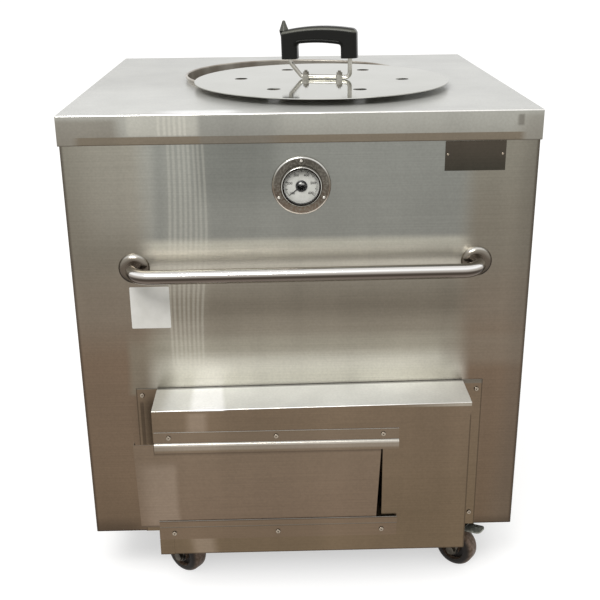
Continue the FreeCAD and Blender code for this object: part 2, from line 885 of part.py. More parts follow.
def make_gauge_pointer():
    """Needle from a domed hub on a pin; zero degrees points right, turning anticlockwise."""
    base = gauge_dial_level + gauge_dial_thick + fit_gap
    crown = base + gauge_hub_high
    pin_end = gauge_dial_level - gauge_pin_depth
    cap = gauge_hub_radius - gauge_hub_high
    steps = [
        (0, pin_end), (gauge_pin_radius, pin_end), (gauge_pin_radius, base), (gauge_hub_radius, base),
        (gauge_hub_radius, base + gauge_hub_high / 2), (cap, crown), (0, crown),
    ]
    hub = turned_on_front(steps, 0, gauge_height, front_face)
    half = gauge_needle_width / 2
    corners = [(cap, -half), (gauge_needle, -half / 4), (gauge_needle, half / 4), (cap, half)]
    level = front_face - base - gauge_needle_thick / 2
    points = [vec(x, level, gauge_height + z) for x, z in corners]
    needle = Part.Face(Part.makePolygon(points + points[:1])).extrude(vec(0, -gauge_needle_thick, 0))
    needle.rotate(vec(0, front_face, gauge_height), FORWARD, gauge_needle_angle)
    return fused([hub, needle])


def make_gauge_stem():
    start = front_face + gauge_case_depth
    return level_rod(gauge_stem_radius, 0, gauge_height, start, start + gauge_stem_length)


def make_gauge_nut():
    bore = gauge_case_radius + pin_gap
    steps = [(bore, -sheet), (gauge_nut_radius, -sheet), (gauge_nut_radius, -sheet - gauge_nut_high),
             (bore, -sheet - gauge_nut_high)]
    return turned_on_front(steps, 0, gauge_height, front_face)


def on_handle(shape):
    """Turn a piece drawn about the foot of the handle to its place on top of the lid."""
    shape.rotate(vec(0, 0, 0), UP, handle_turn)
    return shape.translate(vec(handle_x, lid_y, lid_top))


def stud_places():
    """Middles of the two studs on the lid."""
    turn = math.radians(handle_turn)
    places = []
    for along in (-stud_reach_left, stud_reach_right):
        places.append((handle_x + along * math.cos(turn), lid_y + along * math.sin(turn)))
    return places


def make_lid_plate():
    """Flat disc with a ring of round vents and two holes for the studs."""
    disc = upright_rod(lid_radius, lid_aside, lid_y, lid_bottom, lid_top)
    holes = []
    for k in range(vent_count):
        angle = math.radians(vent_start + 360 * k / vent_count)
        x = lid_aside + vent_circle * math.cos(angle)
        y = lid_y + vent_circle * math.sin(angle)
        holes.append(upright_rod(vent_radius, x, y, lid_bottom, lid_top))
    for x, y in stud_places():
        holes.append(upright_rod(stud_radius + pin_gap, x, y, lid_bottom, lid_top))
    return disc.cut(holes)


def make_lid_bail():
    """Rod bent from leg to leg of the grip along the lid, with an eye forged on it for each stud."""
    run = bail_rod + fit_gap
    socket = handle_rise + bail_socket
    elbow = handle_rise - 2 * bail_rod
    corners = [
        (-bail_arm_left, socket), (-bail_arm_left, elbow), (-bail_foot, run),
        (bail_arm_right, run), (bail_arm_right, socket),
    ]
    path = rounded_path([vec(x, 0, z) for x, z in corners], bail_bend)
    nut_room = stud_nut_flats / math.sqrt(3) + soft_gap
    pieces = [swept_rod(path, bail_rod)]
    holes = []
    for x in (-stud_reach_left, stud_reach_right):
        pieces.append(upright_rod(bail_eye, x, 0, 0, eye_top))
        holes.append(upright_rod(stud_radius + pin_gap, x, 0, 0, eye_top))
        holes.append(upright_rod(nut_room, x, 0, eye_top, elbow))
    return on_handle(fused(pieces).cut(holes))


def make_bail_fixing(x, y):
    """Stud from under the lid through an eye of the bail, with its nut."""
    seat = lid_top + eye_top
    head = upright_rod(stud_head_radius, x, y, lid_bottom - stud_head_high, lid_bottom)
    shank = upright_rod(stud_radius, x, y, lid_bottom, seat + stud_nut_high + stud_tip)
    nut = hexagon(stud_nut_flats, vec(x, y, seat), vec(x, y, seat + stud_nut_high))
    return fused([head, shank, nut])


def make_lid_grip():
    """Moulded bridge grip: an arched bar on two legs, well rounded, with a thumb horn at its left end."""
    inner_left = grip_left + grip_leg
    inner_right = grip_right - grip_leg
    left_end = (grip_left, grip_bar_top - grip_left_drop)
    right_end = (grip_right, grip_bar_top - grip_right_drop)
    right_under = (inner_right, grip_bar_under - grip_under_drop)
    left_under = (inner_left, grip_bar_under - grip_left_under_drop)
    steps = [
        (grip_left, 0), left_end, ((0, grip_bar_top), right_end), (grip_right, 0),
        (inner_right, 0), right_under, ((0, grip_bar_under), left_under), (inner_left, 0),
    ]
    half = grip_depth / 2
    face = outline(steps, lambda x, z: vec(x, -half, handle_rise + z))
    grip = face.extrude(vec(0, grip_depth, 0))
    rounds = [
        (left_end, grip_end_round), (right_end, grip_end_round),
        (right_under, grip_under_round), (left_under, grip_under_round),
    ]
    for (x, z), radius in rounds:
        grip = grip.makeFillet(radius, edges_along_y(grip, x, handle_rise + z))
    rims = [e for e in grip.Edges if len({round(v.Y, 4) for v in e.Vertexes}) == 1]
    rims = [e for e in rims if max(v.Z for v in e.Vertexes) > handle_rise + 1e-4]
    grip = grip.makeFillet(grip_round, rims)
    neck = (horn_tip_radius, horn_neck)
    horn_steps = [
        (0, horn_foot), (horn_foot_radius, horn_foot), (horn_radius, horn_waist), neck,
        rounded_to(neck, (0, horn_neck + horn_tip_radius)),
    ]
    horn = turned_upright(horn_steps, grip_left + horn_inset, 0).translate(vec(0, 0, handle_rise))
    grip = fused([grip, horn])
    grip.rotate(vec(0, 0, handle_rise), vec(0, 1, 0), -grip_tilt)
    sockets = []
    for x in (-bail_arm_left, bail_arm_right):
        end = handle_rise + bail_socket + fit_gap
        sockets.append(upright_rod(bail_rod + pin_gap, x, 0, handle_rise - bail_rod, end))
    return on_handle(grip.cut(sockets))


def place_caster(shape, x, y):
    shape.rotate(vec(0, 0, 0), UP, caster_turn)
    return shape.translate(vec(x, y, 0))


def make_caster_plate(x, y):
    """Bolted plate with the bearing race under it and the king pin that holds the fork."""
    half_x = caster_plate_x / 2
    half_y = caster_plate_y / 2
    plate = block(x - half_x, x + half_x, y - half_y, y + half_y, plate_under, skirt_height)
    race_low = crown_top + fit_gap
    head_top = crown_under - fit_gap
    race = upright_rod(race_radius, x, y, race_low, plate_under)
    pin = upright_rod(king_pin_radius, x, y, head_top, race_low)
    head = upright_rod(king_pin_head, x, y, head_top - king_pin_head_high, head_top)
    drill = caster_bolt_radius + pin_gap
    holes = []
    for dx in (-caster_bolt_x, caster_bolt_x):
        for dy in (-caster_bolt_y, caster_bolt_y):
            holes.append(upright_rod(drill, x + dx, y + dy, plate_under, skirt_height))
    return fused([plate, race, pin, head]).cut(holes)


def make_caster_bolt(x, y):
    shank = upright_rod(caster_bolt_radius, x, y, plate_under, base_top + caster_bolt_grip)
    head = hexagon(caster_bolt_flats, vec(x, y, plate_under - caster_bolt_head), vec(x, y, plate_under))
    return fused([shank, head])


def make_caster_fork(x, y):
    """Pressed fork: a crown round the king pin and two legs tapering to the axle."""
    tail = caster_trail + fork_tail
    legs = []
    steps = [
        (fork_leg_front, crown_top), (tail, crown_top), (tail, crown_top - 2 * fork_shoulder),
        (caster_trail + fork_boss, wheel_radius),
        ((caster_trail, wheel_radius - fork_boss), (caster_trail - fork_boss, wheel_radius)),
        (fork_leg_front, crown_top - fork_shoulder),
    ]
    for start in (-fork_outer, fork_inner):
        face = outline(steps, lambda a, z, at=start: vec(a, at, z))
        legs.append(face.extrude(vec(0, fork_wall, 0)))
    crown = block(-fork_front, tail, -fork_outer, fork_outer, crown_under, crown_top)
    ways = [
        upright_rod(king_pin_radius + pin_gap, 0, 0, crown_under, crown_top),
        level_rod(axle_radius + pin_gap, caster_trail, wheel_radius, -fork_outer, fork_outer),
        level_rod(pedal_pin + pin_gap, pedal_pivot_x, pedal_pivot_z, -fork_outer, fork_outer),
    ]
    return place_caster(fused(legs + [crown]).cut(ways), x, y)


def make_caster_axle(x, y):
    """Axle across the fork, with a hexagonal head at each end."""
    end = fork_outer + axle_head_high
    shaft = level_rod(axle_radius, caster_trail, wheel_radius, -end, end)
    heads = []
    for side in (-1, 1):
        start = vec(caster_trail, side * fork_outer, wheel_radius)
        heads.append(hexagon(axle_head_flats, start, vec(caster_trail, side * end, wheel_radius)))
    return place_caster(fused([shaft] + heads), x, y)


def make_caster_wheel(x, y):
    """Solid wheel with rounded shoulders, dished sides and a hub on the axle."""
    half = wheel_width / 2
    hub_half = half + wheel_side_gap
    web_half = wheel_web / 2
    shoulder_r = wheel_radius - wheel_shoulder
    shoulder_y = half - wheel_shoulder
    round_off = math.sqrt(0.5) * wheel_shoulder
    bore = axle_radius + pin_gap
    steps = [
        (bore, -hub_half), (wheel_hub, -hub_half), (wheel_hub, -web_half), (wheel_rim, -web_half),
        (wheel_rim, -half), (shoulder_r, -half),
        ((shoulder_r + round_off, -shoulder_y - round_off), (wheel_radius, -shoulder_y)),
        (wheel_radius, shoulder_y), ((shoulder_r + round_off, shoulder_y + round_off), (shoulder_r, half)),
        (wheel_rim, half), (wheel_rim, web_half), (wheel_hub, web_half), (wheel_hub, hub_half),
        (bore, hub_half),
    ]
    face = outline(steps, lambda r, across: vec(caster_trail + r, across, wheel_radius))
    wheel = face.revolve(vec(caster_trail, 0, wheel_radius), vec(0, 1, 0), 360)
    return place_caster(wheel, x, y)


def make_brake_pedal(x, y):
    """Brake pedal on a pin across the tail of the fork; trodden down, its cam turns to the wheel."""
    half = pedal_width / 2
    plate = block(0, pedal_reach, -half, half, -pedal_thick / 2, pedal_thick / 2)
    tip = upright_edges(plate, pedal_reach, -half) + upright_edges(plate, pedal_reach, half)
    plate = plate.makeFillet(pedal_round, tip)
    plate.rotate(vec(0, 0, 0), vec(0, 1, 0), -pedal_tilt)
    hub = level_rod(pedal_hub, 0, 0, -half, half)
    pin = level_rod(pedal_pin, 0, 0, -fork_outer, fork_outer)
    lean = math.radians(cam_lean)
    cam_x = -(cam_reach - cam_radius) * math.sin(lean)
    cam_z = -(cam_reach - cam_radius) * math.cos(lean)
    cam = level_rod(cam_radius, cam_x, cam_z, -half, half)
    pedal = fused([plate, hub, pin, cam])
    pedal.translate(vec(pedal_pivot_x, 0, pedal_pivot_z))
    return place_caster(pedal, x, y)


save("base_plate", make_base_plate())
save("base_frame", make_base_frame())
for side_name, side in (("left", -1), ("right", 1)):
    for end_name, end in (("front", -1), ("rear", 1)):
        save("corner_post_" + end_name + "_" + side_name, make_corner_post(side, end))
    save(side_name + "_panel", make_side_panel(side))
save("front_panel", make_front_panel())
save("rear_panel", make_rear_panel())
save("top_cover", make_top_cover())

save("hearth_slab", make_hearth_slab())
save("clay_pot", make_clay_pot())
save("pot_rim_seal", make_pot_rim_seal())
save("mouth_collar", make_mouth_collar())
save("insulation", make_insulation())
save("charcoal_grate", make_charcoal_grate())
save("air_duct", make_air_duct())

save("draft_box", make_draft_box())
save("box_left_cheek", make_box_cheek(box_left, box_top_left, -1, box_flange_left))
save("box_right_cheek", make_box_cheek(box_right, box_top_right, 1, box_flange_right))
flange_face = front_face - sheet
save("draft_box_screws", Part.makeCompound([make_screw(x, z, flange_face) for x, z in flange_screw_places()]))
save("upper_door_rail", make_door_rail(upper_rail_height, upper_flange, upper_lip, -1))
save("lower_door_rail", make_door_rail(lower_rail_height, lower_flange, lower_lip, 1))
rail_face = box_face - sheet
save("door_rail_screws", Part.makeCompound([make_screw(x, z, rail_face) for x, z in rail_screw_places()]))
save("sliding_door", make_sliding_door())

save("push_rail", make_push_rail())
for side_name, (x, z) in zip(("left", "right"), push_rail_ends):
    save(side_name + "_rosette", make_rosette(x, z))
save("rail_nuts", Part.makeCompound([make_rail_nut(x, z) for x, z in push_rail_ends]))

save("gauge_bezel", make_gauge_bezel())
save("gauge_case", make_gauge_case())
save("gauge_dial", make_gauge_dial())
save("gauge_glass", make_gauge_glass())
save("gauge_pointer", make_gauge_pointer())
save("gauge_stem", make_gauge_stem())
save("gauge_nut", make_gauge_nut())

save("lid_plate", make_lid_plate())
save("lid_bail", make_lid_bail())
save("bail_fixings", Part.makeCompound([make_bail_fixing(x, y) for x, y in stud_places()]))
save("lid_grip", make_lid_grip())

for name, x, y in caster_places():
    save("caster_plate_" + name, make_caster_plate(x, y))
    save("caster_fork_" + name, make_caster_fork(x, y))
    save("caster_axle_" + name, make_caster_axle(x, y))
    save("caster_wheel_" + name, make_caster_wheel(x, y))
    if name.startswith("front"):
        save("brake_pedal_" + name, make_brake_pedal(x, y))
save("caster_bolts", Part.makeCompound([make_caster_bolt(x, y) for x, y in caster_bolt_places()]))
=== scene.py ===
import math

import bmesh
import bpy
from mathutils import Matrix, Vector


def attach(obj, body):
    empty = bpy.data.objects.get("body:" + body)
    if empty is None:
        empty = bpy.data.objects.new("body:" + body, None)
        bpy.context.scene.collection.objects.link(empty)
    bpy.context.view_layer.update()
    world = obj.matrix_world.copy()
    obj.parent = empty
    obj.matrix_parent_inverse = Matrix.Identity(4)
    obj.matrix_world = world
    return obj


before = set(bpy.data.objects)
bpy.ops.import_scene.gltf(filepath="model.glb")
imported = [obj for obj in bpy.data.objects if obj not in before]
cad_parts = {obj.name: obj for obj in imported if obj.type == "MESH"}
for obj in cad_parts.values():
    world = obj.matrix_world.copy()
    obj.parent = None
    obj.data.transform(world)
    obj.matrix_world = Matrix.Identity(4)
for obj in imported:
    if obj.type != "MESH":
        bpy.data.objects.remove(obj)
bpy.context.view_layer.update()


# Casters: plates and forks pressed from steel, with turned axles, bolted under the base plate.
# The zinc plating is painted dark, as the shade under the oven, with soft clouds where the
# bath left it thicker.
def linear(hex_colour):
    """sRGB hex colour as linear red, green and blue, with full alpha."""
    channels = [int(hex_colour[k:k + 2], 16) / 255 for k in (1, 3, 5)]
    return [c / 12.92 if c <= 0.04045 else ((c + 0.055) / 1.055) ** 2.4 for c in channels] + [1.0]


def add_node(tree, kind, inputs=None, **settings):
    """New node with its settings. Each input gets a link, a hex colour or a plain value."""
    made = tree.nodes.new(kind)
    for name, value in settings.items():
        setattr(made, name, value)
    for name, value in (inputs or {}).items():
        if isinstance(value, bpy.types.NodeSocket):
            tree.links.new(value, made.inputs[name])
        else:
            made.inputs[name].default_value = linear(value) if isinstance(value, str) else value
    return made


def new_finish(name, **shader_values):
    """New material with its node tree and shader, and these values on the shader's sockets."""
    material = bpy.data.materials.new(name)
    material.use_nodes = True
    shader = material.node_tree.nodes["Principled BSDF"]
    for socket, value in shader_values.items():
        value = linear(value) if isinstance(value, str) else value
        shader.inputs[socket.replace("_", " ")].default_value = value
    return material, material.node_tree, shader


def dress(material, *nodes):
    for name in nodes:
        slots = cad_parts[name].data.materials
        slots.clear()
        slots.append(material)


def tinted(tree, shader, first, second, grain_mm, detail=3.0, stretch=(1, 1, 1)):
    """Two tones of one finish, clouded into each other at a grain size in millimetres.

    Gives the tone to the shader, and returns it with the cloud that mixed it.
    """
    place = add_node(tree, "ShaderNodeTexCoord").outputs["Object"]
    place = add_node(tree, "ShaderNodeMapping", {"Vector": place, "Scale": stretch})
    cloud = add_node(tree, "ShaderNodeTexNoise", {
        "Vector": place.outputs["Vector"], "Scale": 1000 / grain_mm, "Detail": detail})
    ramp = add_node(tree, "ShaderNodeValToRGB", {"Fac": cloud.outputs["Fac"]})
    first_stop, second_stop = ramp.color_ramp.elements
    first_stop.position, first_stop.color = 0.35, linear(first)
    second_stop.position, second_stop.color = 0.65, linear(second)
    tree.links.new(ramp.outputs["Color"], shader.inputs["Base Color"])
    return ramp.outputs["Color"], cloud.outputs["Fac"]


caster_names = ("front_left", "front_right", "rear_left", "rear_right")
# Both tones are painted dark, as the shade the casters stand in under the oven.
shade_darkened_zinc, tree, shader = new_finish("zinc_plated_steel", Metallic=1.0, Roughness=0.36)
tinted(tree, shader, "#3E3A34", "#5A554D", 14)
for name in caster_names:
    dress(shade_darkened_zinc, "caster_plate_" + name, "caster_fork_" + name, "caster_axle_" + name)
dress(shade_darkened_zinc, "caster_bolts", "rail_nuts")


# Caster wheels: cast in polyurethane, each on an axle through its fork.
# The tread is brown grey in soft clouds, and the flanks are painted near black, as shade.
def fade(tree, value, start, stop, first, second):
    """Tone that runs smoothly from first to second while value runs from start to stop."""
    share = add_node(tree, "ShaderNodeMapRange", {
        "Value": value, "From Min": start, "From Max": stop}, interpolation_type="SMOOTHSTEP")
    blend = add_node(tree, "ShaderNodeMix", {0: share.outputs[0], 6: first, 7: second},
                     data_type="RGBA")
    return blend.outputs[2]


# At rest all four casters point the same way.
axle_turn = math.radians(-38)
axle = (-math.sin(axle_turn), math.cos(axle_turn), 0)
tread, tree, shader = new_finish("cast_polyurethane", Roughness=0.48, Specular_IOR_Level=0.2)
normal = add_node(tree, "ShaderNodeTexCoord").outputs["Normal"]
facing = add_node(tree, "ShaderNodeVectorMath", {0: normal, 1: axle}, operation="DOT_PRODUCT")
flank = add_node(tree, "ShaderNodeMath", {0: facing.outputs["Value"]}, operation="ABSOLUTE")
worn, scuff = tinted(tree, shader, "#554536", "#79675A", 6)
# Faces along the axle, the flanks, fade to a painted shade near black.
tree.links.new(fade(tree, flank.outputs[0], 0.45, 0.95, worn, "#1E1915"),
               shader.inputs["Base Color"])
lift = add_node(tree, "ShaderNodeBump", {"Height": scuff, "Strength": 0.15, "Distance": 0.0006})
tree.links.new(lift.outputs["Normal"], shader.inputs["Normal"])
dress(tread, *["caster_wheel_" + name for name in caster_names])

# Brake pedals: levers pressed from steel and enamelled, hinged on the front forks.
# The grey green enamel is worn to a paler tone in patches.
enamel, tree, shader = new_finish("chipped_enamel", Roughness=0.42, Metallic=0.2)
tinted(tree, shader, "#6E7067", "#9C9C92", 5)
dress(enamel, "brake_pedal_front_left", "brake_pedal_front_right")

# Base: a mild steel plate and a welded ring of angle, with a post of angle in each corner.
# The black paint was brushed on by hand, so it is cloudy, with half a gloss.
black_paint, tree, shader = new_finish("brushed_on_black_paint", Roughness=0.5, Metallic=0.1)
tinted(tree, shader, "#2B2A28", "#403E3A", 25)
dress(black_paint, "base_plate", "base_frame")
dress(black_paint, *["corner_post_" + name for name in caster_names])

# Hearth: a slab of refractory castable, poured into the base under the pot.
# It looks matt and buff grey, speckled by its grog.
castable, tree, shader = new_finish("refractory_castable", Roughness=0.9)
tinted(tree, shader, "#7E7466", "#9B9182", 8, detail=6)
dress(castable, "hearth_slab")

# Pot: the oven's chamber, built by hand of clay and chopped straw and fired in place.
# It looks matt and reddish brown, and the straw has left its surface coarse.
clay, tree, shader = new_finish("fired_straw_clay", Roughness=0.88)
_, grit = tinted(tree, shader, "#6B4630", "#9A6A49", 22, detail=8)
lift = add_node(tree, "ShaderNodeBump", {"Height": grit, "Strength": 0.5, "Distance": 0.002})
tree.links.new(lift.outputs["Normal"], shader.inputs["Normal"])
dress(clay, "clay_pot")

# Seal and fill: a ring of ceramic rope on the pot's rim, and mineral wool packed round the pot.
# Both look matt and straw coloured, with fibres that lie level.
wool, tree, shader = new_finish("packed_mineral_wool", Roughness=0.95)
_, fibre = tinted(tree, shader, "#A79C80", "#CBC2A8", 7, detail=8, stretch=(1, 1, 3))
lift = add_node(tree, "ShaderNodeBump", {"Height": fibre, "Strength": 0.6, "Distance": 0.003})
tree.links.new(lift.outputs["Normal"], shader.inputs["Normal"])
dress(wool, "insulation", "pot_rim_seal")

# Grate: cast iron, laid in the pot to hold the charcoal.
# The fire has burnt it matt and dark, with ash in paler patches.
iron, tree, shader = new_finish("burnt_cast_iron", Roughness=0.8, Metallic=0.5)
tinted(tree, shader, "#26231F", "#4A443C", 10, detail=6)
dress(iron, "charcoal_grate")


# Cabinet sheets: stainless steel ground with a belt, folded at the edges and spot welded.
# The grain runs level. It is too fine to show, so it is drawn about 1.4 mm wide. Faces that lean
# down get a painted reflection of a brown floor, and folds that lean up a painted highlight of the
# ceiling.
def by_height(tree, height, tones):
    """Tone that runs from one (height, colour) to the next."""
    tone = tones[0][1]
    for (low, _), (high, colour) in zip(tones, tones[1:]):
        tone = fade(tree, height, low, high, tone, colour)
    return tone


def inside(tree, place, share, *limits):
    """Soft share of the places inside (axis, start, full from, full to, stop) limits."""
    parts = add_node(tree, "ShaderNodeSeparateXYZ", {"Vector": place})
    for axis, start, full_from, full_to, stop in limits:
        for none, full in ((start, full_from), (stop, full_to)):
            step = add_node(tree, "ShaderNodeMapRange", {
                "Value": parts.outputs[axis], "From Min": none, "From Max": full},
                interpolation_type="SMOOTHSTEP")
            product = add_node(tree, "ShaderNodeMath", {0: share, 1: step.outputs[0]},
                               operation="MULTIPLY")
            share = product.outputs[0]
    return share


def measured(tree, coordinates, axis):
    """One axis of where a piece's surface lies ("Object") or which way it faces ("Normal")."""
    found = add_node(tree, "ShaderNodeTexCoord").outputs[coordinates]
    return add_node(tree, "ShaderNodeSeparateXYZ", {"Vector": found}).outputs[axis]


def brushed_sheet(name, tones, roughness, ends=None, glints=(), lines=(), down="#70675A",
                  painted_fold_sheen="#F3F1EC", flat="#BDBDB8", gloss=0.15, grain_mm=(200, 200, 1.4286),
                  bands=0.10):
    """Ground steel whose tone follows its height, with other tones towards a panel's ends.

    Glints and lines are (colour, share, limits): painted highlights, reflections and shade, and on
    the cabinet the tones by height and at the ends are painted reflections too. Glints waver, as a
    dented sheet makes them, and lines stay straight. Faces that lie flat keep only the gloss's
    share of their metal.
    """
    panel_middle, ends_start, ends_full = 0.008, 0.258, 0.303
    painted_underside_shade = "#4A3F35"
    flat_start, flat_full = 0.75, 0.97
    wave_mm, waver = 250, 0.06
    material, tree, shader = new_finish(name, Metallic=1.0, Roughness=roughness)
    place = add_node(tree, "ShaderNodeTexCoord").outputs["Object"]
    parts = add_node(tree, "ShaderNodeSeparateXYZ", {"Vector": place}).outputs
    tone = by_height(tree, parts["Z"], tones)
    if ends:
        away = add_node(tree, "ShaderNodeMath", {0: parts["X"], 1: panel_middle},
                        operation="SUBTRACT")
        away = add_node(tree, "ShaderNodeMath", {0: away.outputs[0]}, operation="ABSOLUTE")
        tone = fade(tree, away.outputs[0], ends_start, ends_full, tone,
                    by_height(tree, parts["Z"], ends))

    # Painted by lean: a brown floor's reflection on faces that lean down, shade on undersides, a
    # highlight on folds that lean up, and the flats' own tone, each from lean to lean.
    lean = measured(tree, "Normal", "Z")
    for start, full, colour in ((-0.03, -0.10, down), (-0.2, -0.8, painted_underside_shade), (0.10, 0.45, painted_fold_sheen),
                                (flat_start, flat_full, flat)):
        tone = fade(tree, lean, start, full, tone, colour)
    metal = add_node(tree, "ShaderNodeMapRange", {
        "Value": lean, "From Min": flat_start, "From Max": flat_full, "To Min": 1.0,
        "To Max": gloss}, interpolation_type="SMOOTHSTEP")
    tree.links.new(metal.outputs[0], shader.inputs["Metallic"])

    wave = add_node(tree, "ShaderNodeTexNoise", {
        "Vector": place, "Scale": 1000 / wave_mm, "Detail": 0.0})
    wave = add_node(tree, "ShaderNodeVectorMath", {0: wave.outputs["Color"], 1: (0.5, 0.5, 0.5)},
                    operation="SUBTRACT")
    bent = add_node(tree, "ShaderNodeVectorMath", {
        0: wave.outputs["Vector"], 1: (waver, 0, 0), 2: place}, operation="MULTIPLY_ADD")
    for spot, marks in ((bent.outputs["Vector"], glints), (place, lines)):
        for colour, share, *limits in marks:
            blend = add_node(tree, "ShaderNodeMix", {
                0: inside(tree, spot, share, *limits), 6: tone, 7: colour}, data_type="RGBA")
            tone = blend.outputs[2]

    # The belt's grain, bands left by rolling, soft clouds and a fine speckle.
    layers = ((grain_mm, 2.0, 0.05), ((58.824, 58.824, 1111.1), 2.0, bands),
              ((166.67, 166.67, 166.67), 4.0, 0.07), ((4.1667, 4.1667, 4.1667), 1.0, 0.04))
    noise_low, noise_high = 0.3, 0.7
    total = 1.0
    for size_mm, detail, depth in layers:
        spot = add_node(tree, "ShaderNodeMapping", {
            "Vector": place, "Scale": [1000 / mm for mm in size_mm]})
        noise = add_node(tree, "ShaderNodeTexNoise", {
            "Vector": spot.outputs["Vector"], "Scale": 1.0, "Detail": detail}).outputs["Fac"]
        swing = add_node(tree, "ShaderNodeMapRange", {
            "Value": noise, "From Min": noise_low, "From Max": noise_high, "To Min": 1 - depth,
            "To Max": 1 + depth})
        product = add_node(tree, "ShaderNodeMath", {0: total, 1: swing.outputs[0]},
                           operation="MULTIPLY")
        total = product.outputs[0]
        if size_mm == grain_mm:
            lift = add_node(tree, "ShaderNodeBump", {
                "Height": noise, "Strength": 0.08, "Distance": 0.0004})
            tree.links.new(lift.outputs["Normal"], shader.inputs["Normal"])
    shaded = add_node(tree, "ShaderNodeVectorMath", {0: tone, "Scale": total}, operation="SCALE")
    tree.links.new(shaded.outputs["Vector"], shader.inputs["Base Color"])
    return material


# Colour of the painted pale glints, reflections of a lamp.
pale_glint = "#D8D5C8"


def ripples(share, places, *limits):
    """Thin pale lines side by side, as a slightly dented sheet draws out a lamp."""
    # Each line is a painted reflection of a lamp.
    edge = 0.0035
    core = edge / 4
    return [(pale_glint, share, ("X", x - edge, x - core, x + core, x + edge), *limits)
            for x in places]


# Limits that leave an end open lie metres away from the oven.
no_start, no_stop = (-3, -2), (2, 3)
# Painted shade for edges, seams and corners.
edge_shade = "#3A3129"
front_only = ("Y", *no_start, -0.3540, -0.3520)
# The front has a painted reflection of a lamp in two pale bands, over the draft box and behind
# the push rail, with darker painted bands and ends, pale painted glints and ripples, and painted
# shade along its edges and at its lower corners.
front_sheet = brushed_sheet(
    "ground_stainless_front",
    [(0.36, "#6E5E4D"), (0.41, "#E3E1D6"), (0.440, "#DAD7CB"), (0.50, "#8B8679"),
     (0.535, "#797266"), (0.575, "#6A6358"), (0.635, "#777166"), (0.662, "#C2BDB0"),
     (0.678, "#BDB9AD"), (0.692, "#A7A498"), (0.710, "#7A7A74"), (0.87, "#82837D")],
    0.33,
    ends=[(0.12, "#665646"), (0.46, "#6C5C4D"), (0.58, "#70665A"), (0.70, "#716B60"),
          (0.86, "#7D796E")],
    glints=[
        (pale_glint, 0.06, ("X", -0.262, -0.238, -0.185, -0.162)),
        ("#7A7568", 0.55, ("X", -0.325, -0.310, -0.262, -0.222), ("Z", 0.40, 0.41, 0.49, 0.54)),
        ("#7A7266", 0.40, ("X", 0.235, 0.262, *no_stop), ("Z", 0.44, 0.47, 0.50, 0.53)),
        ("#6E675B", 0.50, ("X", -0.250, -0.225, -0.185, -0.162), ("Z", 0.54, 0.56, 0.59, 0.61)),
        (pale_glint, 0.14, ("X", -0.42, -0.31, -0.27, -0.25), ("Z", 0.66, 0.75, *no_stop)),
        ("#5A5B56", 0.45, ("X", -0.212, -0.182, -0.06, -0.01), ("Z", 0.74, 0.81, *no_stop)),
        ("#56514A", 0.30, ("X", 0.355, 0.405, *no_stop), front_only),
        *ripples(0.13, (-0.238, -0.230, -0.221, -0.213, -0.205, -0.196, -0.188, -0.179),
                 ("Z", 0.42, 0.50, *no_stop)),
        (edge_shade, 0.55, ("X", *no_start, -0.335, -0.295), ("Z", *no_start, 0.112, 0.150)),
        (edge_shade, 0.45, ("X", 0.335, 0.345, *no_stop), ("Z", *no_start, 0.112, 0.135)),
    ],
    lines=[
        (edge_shade, 0.65, ("X", 0.3990, 0.4045, *no_stop), front_only),
        (edge_shade, 0.65, ("X", *no_start, -0.4045, -0.3990), front_only),
        (edge_shade, 0.75, ("Z", *no_start, 0.1125, 0.1140)),
    ],
    bands=0.06)
dress(front_sheet, "front_panel")
# The other sides have a painted reflection of a plain room, darker and browner towards the floor.
side_sheet = brushed_sheet(
    "ground_stainless_sides", [(0.11, "#6C5D4D"), (0.45, "#7A6F61"), (0.92, "#8B8980")], 0.33)
dress(side_sheet, "left_panel", "right_panel", "rear_panel")

# Top: one sheet folded down all round, its lower hem pressed in between the corners.
# Its grain runs from side to side, and the flat deck looks paler than the folded aprons. The
# aprons have painted glints, ripples and shade at their ends, the deck a painted glare at its
# front left and painted shade at its back left, and a painted shadow line runs under the hem.
apron = ("Z", 0.884, 0.888, 0.918, 0.921)
deck = ("Z", 0.9214, 0.9218, *no_stop)
apron_shade = "#6A6256"
top_sheet = brushed_sheet(
    "ground_stainless_top", [(0.87, "#8E8C84"), (0.92, "#A09F97")], 0.3,
    glints=[
        (apron_shade, 0.55, ("X", *no_start, -0.322, -0.300), ("Z", *no_start, 0.908, 0.921)),
        (pale_glint, 0.20, ("X", -0.302, -0.292, -0.192, -0.180), apron),
        *ripples(0.22, (-0.250, -0.241, -0.233, -0.225, -0.216, -0.208), apron),
        ("#6A6A66", 0.35, ("X", -0.188, -0.176, -0.06, -0.01), ("Z", *no_start, 0.916, 0.921)),
        (apron_shade, 0.35, ("X", 0.34, 0.38, *no_stop), ("Z", *no_start, 0.908, 0.921)),
        ("#FFFFFF", 0.60, ("X", -0.27, -0.21, -0.13, -0.09), ("Y", -0.36, -0.356, -0.335, -0.315),
         deck),
        ("#8A8880", 0.20, ("X", *no_start, -0.22, -0.10), ("Y", -0.20, 0.05, *no_stop), deck),
    ],
    # A painted dark reflection near the apron's right corner, and the painted shadow under its
    # hem.
    lines=[
        ("#4E483F", 0.50, ("X", 0.362, 0.368, 0.373, 0.378), ("Z", 0.893, 0.898, 0.912, 0.916)),
        (edge_shade, 0.60, ("Z", *no_start, 0.8712, 0.8724)),
    ],
    flat="#B8B8B3", gloss=0.2, grain_mm=(200, 1.4286, 200), bands=0.04)
dress(top_sheet, "top_cover")

